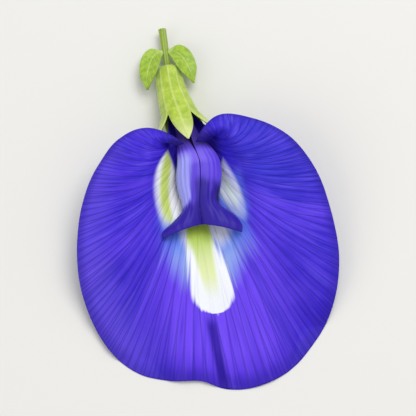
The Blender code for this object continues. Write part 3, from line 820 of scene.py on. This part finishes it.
def face_height(angle, t, rim):
    """Height of the petal's face: a shallow dish with pleats, a midline crease and its rim."""
    w = max(t - DISH_FROM, 0.0) / (1 - DISH_FROM)
    midline = math.exp(-((angle / MIDLINE_WIDTH) ** 2))
    dish = DISH * math.sin(math.pi * w) * (1 - 0.8 * midline)
    pleats = PLEAT_DEPTH * w * math.sin(math.radians(angle) * PLEATS + PLEAT_PHASE)
    crease = CREASE_DEPTH * math.exp(-((angle / CREASE_WIDTH) ** 2))
    crease *= ease((w - CREASE_FROM) / CREASE_FADE)
    return dish + rim * w**3 + pleats * (1 - midline) - crease


def standard_relief(u, t):
    """Low ribs over the first veins, soft crinkles between them and a wavy rim."""
    rib = math.exp(-((vein_gap(u, t, FORKS[:2]) / 0.45) ** 2))
    crinkle = math.sin(u * 61 + 5 * t) * math.sin(t * 23 + u * 13) + 0.6 * math.sin(u * 97 - t * 17)
    wave = math.sin(u * 71) + 0.7 * math.sin(u * 113 + 1.3) + 0.5 * math.sin(u * 167 + 0.4)
    return (CRINKLE * crinkle * ease(t / 0.4) - RIB_RISE * rib * ease((t - 0.1) / 0.3)
            + RUFFLE * wave * ease((t - 0.72) / 0.28) ** 2)


def standard_point(u, v):
    """u runs from the petal's left edge to its right one, v from its foot along a vein."""
    side = 2 * u - 1
    if v < CLAW_SHARE:
        along = v / CLAW_SHARE
        arc = side * (CLAW_ARC[0] + (CLAW_ARC[1] - CLAW_ARC[0]) * along)
        radius = CLAW_RADIUS[0] + (CLAW_RADIUS[1] - CLAW_RADIUS[0]) * ease(along)
        distance = CLAW_START + (TUBE_LENGTH - CLAW_START) * along
        return in_calyx(radius * math.sin(arc), distance, -radius * math.cos(arc))
    t = blade_share(v)
    arc = side * CLAW_ARC[1]
    radius = CLAW_RADIUS[1]
    start = in_calyx(radius * math.sin(arc), TUBE_LENGTH, -radius * math.cos(arc))
    angle = side * EDGE_END
    reach, rim = through(EDGE, angle)
    turn_x, turn_y, turn_z, climb = through(TURN, abs(side))
    turn = Vector((math.copysign(turn_x, side) + THROAT_SHIFT, turn_y, turn_z))
    bearing = math.radians(angle)
    end = Vector((reach * math.sin(bearing), -reach * math.cos(bearing), climb))
    point = (1 - t) ** 2 * start + 2 * t * (1 - t) * turn + t * t * end
    point.z = soft_min(point.z, face_height(angle, t, rim), THROAT_ROUNDING)
    point.z += standard_relief(u, t)
    return point


def standard_wall(u, v):
    t = clamp(blade_share(v))
    return RIM_WALL + (BLADE_WALL - RIM_WALL) * ease((1 - t) / 0.3)


def crescent(aside, y, half_width, middle, half_height):
    """0 in the middle of a crescent-shaped patch and 1 on its edge; aside is from its midline."""
    return abs(aside / half_width) + ((y - middle) / half_height) ** 2.0


face_blue = Finish("standard_face", Roughness=0.5, Specular_IOR_Level=0.16, Sheen_Weight=0.06,
                   Sheen_Roughness=0.35, Sheen_Tint="8f86ff")
u, v = face_blue.growth()
t = clamp(blade_share(v))
place = face_blue.in_bloom()
x, y, z = face_blue.axes(place)
streak = face_blue.noise(face_blue.point(u * 90, t * 2.2), 1.0, 3, 0.6)
fine = face_blue.noise(face_blue.point(u * 260, t * 5), 1.0, 2, 0.5)
wedge = face_blue.noise(face_blue.point(u * 17, t * 0.6), 1.0, 2, 0.5)
cloud = face_blue.noise(place, 0.16, 3)
vein = 1 - ease(vein_gap(u, t, FORKS) / 0.17)

# Deep blue that turns violet towards the lower margin, in wedges and streaks along the veins
off_middle = abs(x - 1.0)
low = ease((3.0 - y) / 20.0) * (1 - 0.85 * ease((off_middle - 5.0) / 12.0))
skin = face_blue.coats(
    face_blue.mix(low, "3a22d0", "7348fa"),
    (ease((t - 0.9) / 0.1) * ease((-12.0 - y) / 10.0) * 0.8, "3a0fc8"),
    (ease((off_middle - 6.0) / 8.0) * ease((-2.0 - y) / 8.0) * 0.5, "2b1abf"),
    (ease(x / 12.0) * ease((y + 6.0) / 14.0) * 0.7, "3335cc"),
    (ease((wedge - 0.48) / 0.2) * 0.5, "6641f0"),
    (ease((0.5 - wedge) / 0.2) * 0.45, "2c1fba"),
    (ease((cloud - 0.42) / 0.25) * 0.25, "6946f2"),
    (ease((streak - 0.5) / 0.22) * 0.4, "7454fa"),
    (ease((0.5 - streak) / 0.2) * 0.5, "2a1cb4"),
    (ease((fine - 0.5) / 0.2) * 0.15, "8474fa"),
    # Painted light: the left rim is painted lighter, as if lit from that side
    (ease((-8.0 - x) / 8.0) * ease((t - 0.8) / 0.15) * 0.5, "6c55e6"),
)

# A light blue halo round the throat; a pale patch under the wings' ends, partly the mark's pale flank
# running on and partly painted light against the wings' shadow; and what is dark: the veins and the
# margin, with painted shade in the crease and on the lobes' edges by the notch
halo_out = ((x - 0.2) ** 2.0 / 52 + (y + 5.0) ** 2.0 / 80) ** 0.5
halo = 1 - ease((halo_out - 0.55 + (0.5 - streak) * 0.9) / 0.65)
glow = face_blue.mix(ease((y + 9.0) / 5.0), "94b0ea", "5f8cf0")
brim = ease((0.35 - z) / 0.9) * (1 - ease((t - 0.55) / 0.1)) * ease((6.5 - y) / 3.0)
# Partly the mark's pale flank carried on, partly painted light that lifts the wings' shadow
flank_and_painted_light = ease((4.8 - abs(x - 0.3)) / 1.8) * ease((-1.9 - y) / 1.2)
flank_and_painted_light = flank_and_painted_light * ease((y + 7.4 + (streak - 0.5) * 5.0) / 3.4)
# Painted shade on the lobes' edges by the notch
notch_shade = ease((abs(u - 0.5) - 0.462) / 0.03) * ease((t - 0.4) / 0.4)
# Painted shade in the midline crease, stronger towards the rim
off_crease = abs(x + 0.95 + (y + 18.5) * 0.06)
crease = (1 - ease((off_crease - 0.3) / 0.9)) * ease((-17.2 - y) / 2.4)
skin = face_blue.coats(
    skin,
    (halo * 0.85, glow),
    (brim * 0.6, "5b78ee"),
    (flank_and_painted_light * 0.9, "f0f3fa"),
    (vein * (0.42 - 0.25 * halo), "1d1496"),
    (ease((t - 0.95) / 0.045) * 0.55, "2c1c9c"),
    (notch_shade * 0.8, "1f1470"),
    (crease * (0.8 + 0.16 * ease((-22.0 - y) / 5.0)), "260b96"),
)

# The white mark, which feathers out along the veins, with its yellow-green middle
down_mark = (MARK_TOP - y) / MARK_LENGTH
rounding = (1 - clamp((down_mark - 1 + MARK_ROUND) / MARK_ROUND) ** 2.0) ** 0.5
mark_half = (MARK_HALF + MARK_WIDENING * clamp(down_mark)) * rounding
off_mark = abs(x - MARK_ASIDE - MARK_LEAN * down_mark)
feather = (streak - 0.5) * 2.2 + (fine - 0.5) * 1.2
mark = ease((mark_half - off_mark + feather) / 0.9 + 0.35) * ease((down_mark + 0.2) / 0.1)
mark = mark * ease((1.04 - down_mark) / 0.05)
core = ease((2.35 - off_mark - down_mark) / 0.9) * ease((0.9 - down_mark) / 0.35)
yolk = face_blue.mix(ease((down_mark - 0.1) / 0.5), "b2d048", "dfeaa4")
flank = face_blue.mix(ease((down_mark - 0.13) / 0.25), "c8dc78", "f4f6ff")
skin = face_blue.mix(mark, skin, face_blue.mix(core * 0.9, flank, yolk))

# The pale crescents beside the wings: the left one with a yellow-green line, the right one hazy
inner_half = 1 - ease((t - 0.5) / 0.1)
climb = y - 3.5
left_edge = crescent(x + 4.85 - climb * climb * climb * 0.0035, y, 2.15, 2.8, 7.0)
left = (1 - ease((left_edge - 0.88) / 0.35)) * inner_half
off_line = abs(x + 5.5 - (y - 1.0) ** 2.0 * 0.027)
line = (1 - ease((off_line - 0.3) / 0.9)) * ease((y + 2.6) / 2.0)
right_edge = crescent(x - 5.1 + (y - 2.3) * 0.1 - (y - 4.0) ** 2.0 * 0.03, y, 1.75, 1.9, 5.6)
right = (1 - ease((right_edge - 0.7) / 0.5)) * inner_half
skin = face_blue.coats(
    skin,
    (left, face_blue.mix(ease((0.0 - y) / 3.5), "fbfcff", "c4d8fc")),
    (line * left, "d0e470"),
    (right, face_blue.mix(ease((y - 2.0) / 3.0), "e2ecff", "dadcff")),
    (right * ease((1.6 - y) / 3.0) * 0.75, "8392ee"),
    ((1 - ease((right_edge - 0.2) / 0.4)) * right * 0.5, "e0f2e0"),
)
face_blue.feed("Base Color", skin)
face_blue.bump(streak * 0.5 + fine * 0.35 - vein * 0.6, 0.10, 0.8)

back_blue = Finish("standard_back", Roughness=0.55, Specular_IOR_Level=0.2, Sheen_Weight=0.1,
                   Sheen_Roughness=0.4, Sheen_Tint="9f96ff")
u, v = back_blue.growth()
t = clamp(blade_share(v))
streak = back_blue.noise(back_blue.point(u * 90, t * 2.2), 1.0, 3, 0.6)
vein = 1 - ease(vein_gap(u, t, FORKS) / 0.2)
midrib = (1 - ease(abs(u - 0.5) / (0.004 + 0.02 * (1 - t)))) * (1 - ease((t - 0.6) / 0.35))
skin = back_blue.coats(
    back_blue.mix(ease((t - 0.15) / 0.55 + (streak - 0.5) * 0.5), "b9bfe6", "5a4cd6"),
    (vein * 0.35, "d4d6f4"),
    (midrib * 0.8, "cfdcae"),
    (1 - ease(t / 0.12), "d9e0b8"),
)
back_blue.feed("Base Color", skin)
back_blue.bump(streak * 0.5 + vein + midrib, 0.10, 0.8)

sheet = bmesh.new()
grid(sheet, STANDARD_CELLS, standard_point)
standard = finish_piece("standard", sheet, [face_blue, back_blue],
                        ["standard_petal"], up=Vector((0, 0, 1)))
give_walls(standard, BLADE_WALL, standard_wall, back=1)


# Floor
# A plain pale surface under the bloom, of matt paper. It is no part of the flower, and it is wide
# enough for every view.
FLOOR_SIZE = 4.0
FLOOR_DROP = 0.02 * MM  # keeps it clear of what lies on it
floor_paper = Finish("floor_paper", Roughness=0.9, Base_Color="e8e7e3")
floor_mesh = bmesh.new()
bmesh.ops.create_grid(floor_mesh, x_segments=1, y_segments=1, size=FLOOR_SIZE / 2)
bmesh.ops.translate(floor_mesh, verts=floor_mesh.verts, vec=(0, 0, -FLOOR_DROP))
floor_data = bpy.data.meshes.new("floor")
floor_mesh.to_mesh(floor_data)
floor_mesh.free()
floor_data.materials.append(floor_paper.material)
floor = bpy.data.objects.new("floor", floor_data)
bpy.context.scene.collection.objects.link(floor)


# Light
# Soft studio light from two square lamps, the stronger one at the upper right and a larger, weaker
# one at the lower left, in a white room.
ROOM_LIGHT = 0.5


def lamp(name, place, size, watts):
    """A square soft lamp that looks at the bloom."""
    light = bpy.data.lights.new(name, "AREA")
    light.size = size
    light.energy = watts
    holder = bpy.data.objects.new(name, light)
    holder.location = place
    holder.rotation_euler = (-Vector(place)).to_track_quat("-Z", "Y").to_euler()
    bpy.context.scene.collection.objects.link(holder)


lamp("key", (0.2, 0.2, 0.55), 0.4, 2.35)
lamp("fill", (-0.5, -0.2, 0.45), 0.6, 0.9)
room = bpy.data.worlds.new("room")
room.use_nodes = True
room.node_tree.nodes["Background"].inputs["Color"].default_value = (1.0, 1.0, 1.0, 1.0)
room.node_tree.nodes["Background"].inputs["Strength"].default_value = ROOM_LIGHT
bpy.context.scene.world = room
bpy.context.scene.view_settings.view_transform = "Standard"


# Camera
# It looks square onto the bloom's face, from above, and is turned a little about its own line of
# sight, so that the bloom leans to the left in the picture.
CAMERA_TURN = math.radians(8.5)
CAMERA_DISTANCE = 0.36
FRAMED = 0.068  # width of the picture at the bloom
AIM = Vector((0.0012, -0.0013, 0.005))  # the point it looks at
camera = bpy.data.cameras.new("camera")
camera.sensor_width = 36.0
camera.lens = camera.sensor_width * CAMERA_DISTANCE / FRAMED
camera.clip_start, camera.clip_end = 0.01, 10.0
viewer = bpy.data.objects.new("camera", camera)
viewer.rotation_mode = "ZYX"
viewer.rotation_euler = (FACE_TILT, 0, -CAMERA_TURN)
viewer.location = AIM + Matrix.Rotation(FACE_TILT, 3, "X") @ Vector((0, 0, CAMERA_DISTANCE))
bpy.context.scene.collection.objects.link(viewer)
bpy.context.scene.camera = viewer
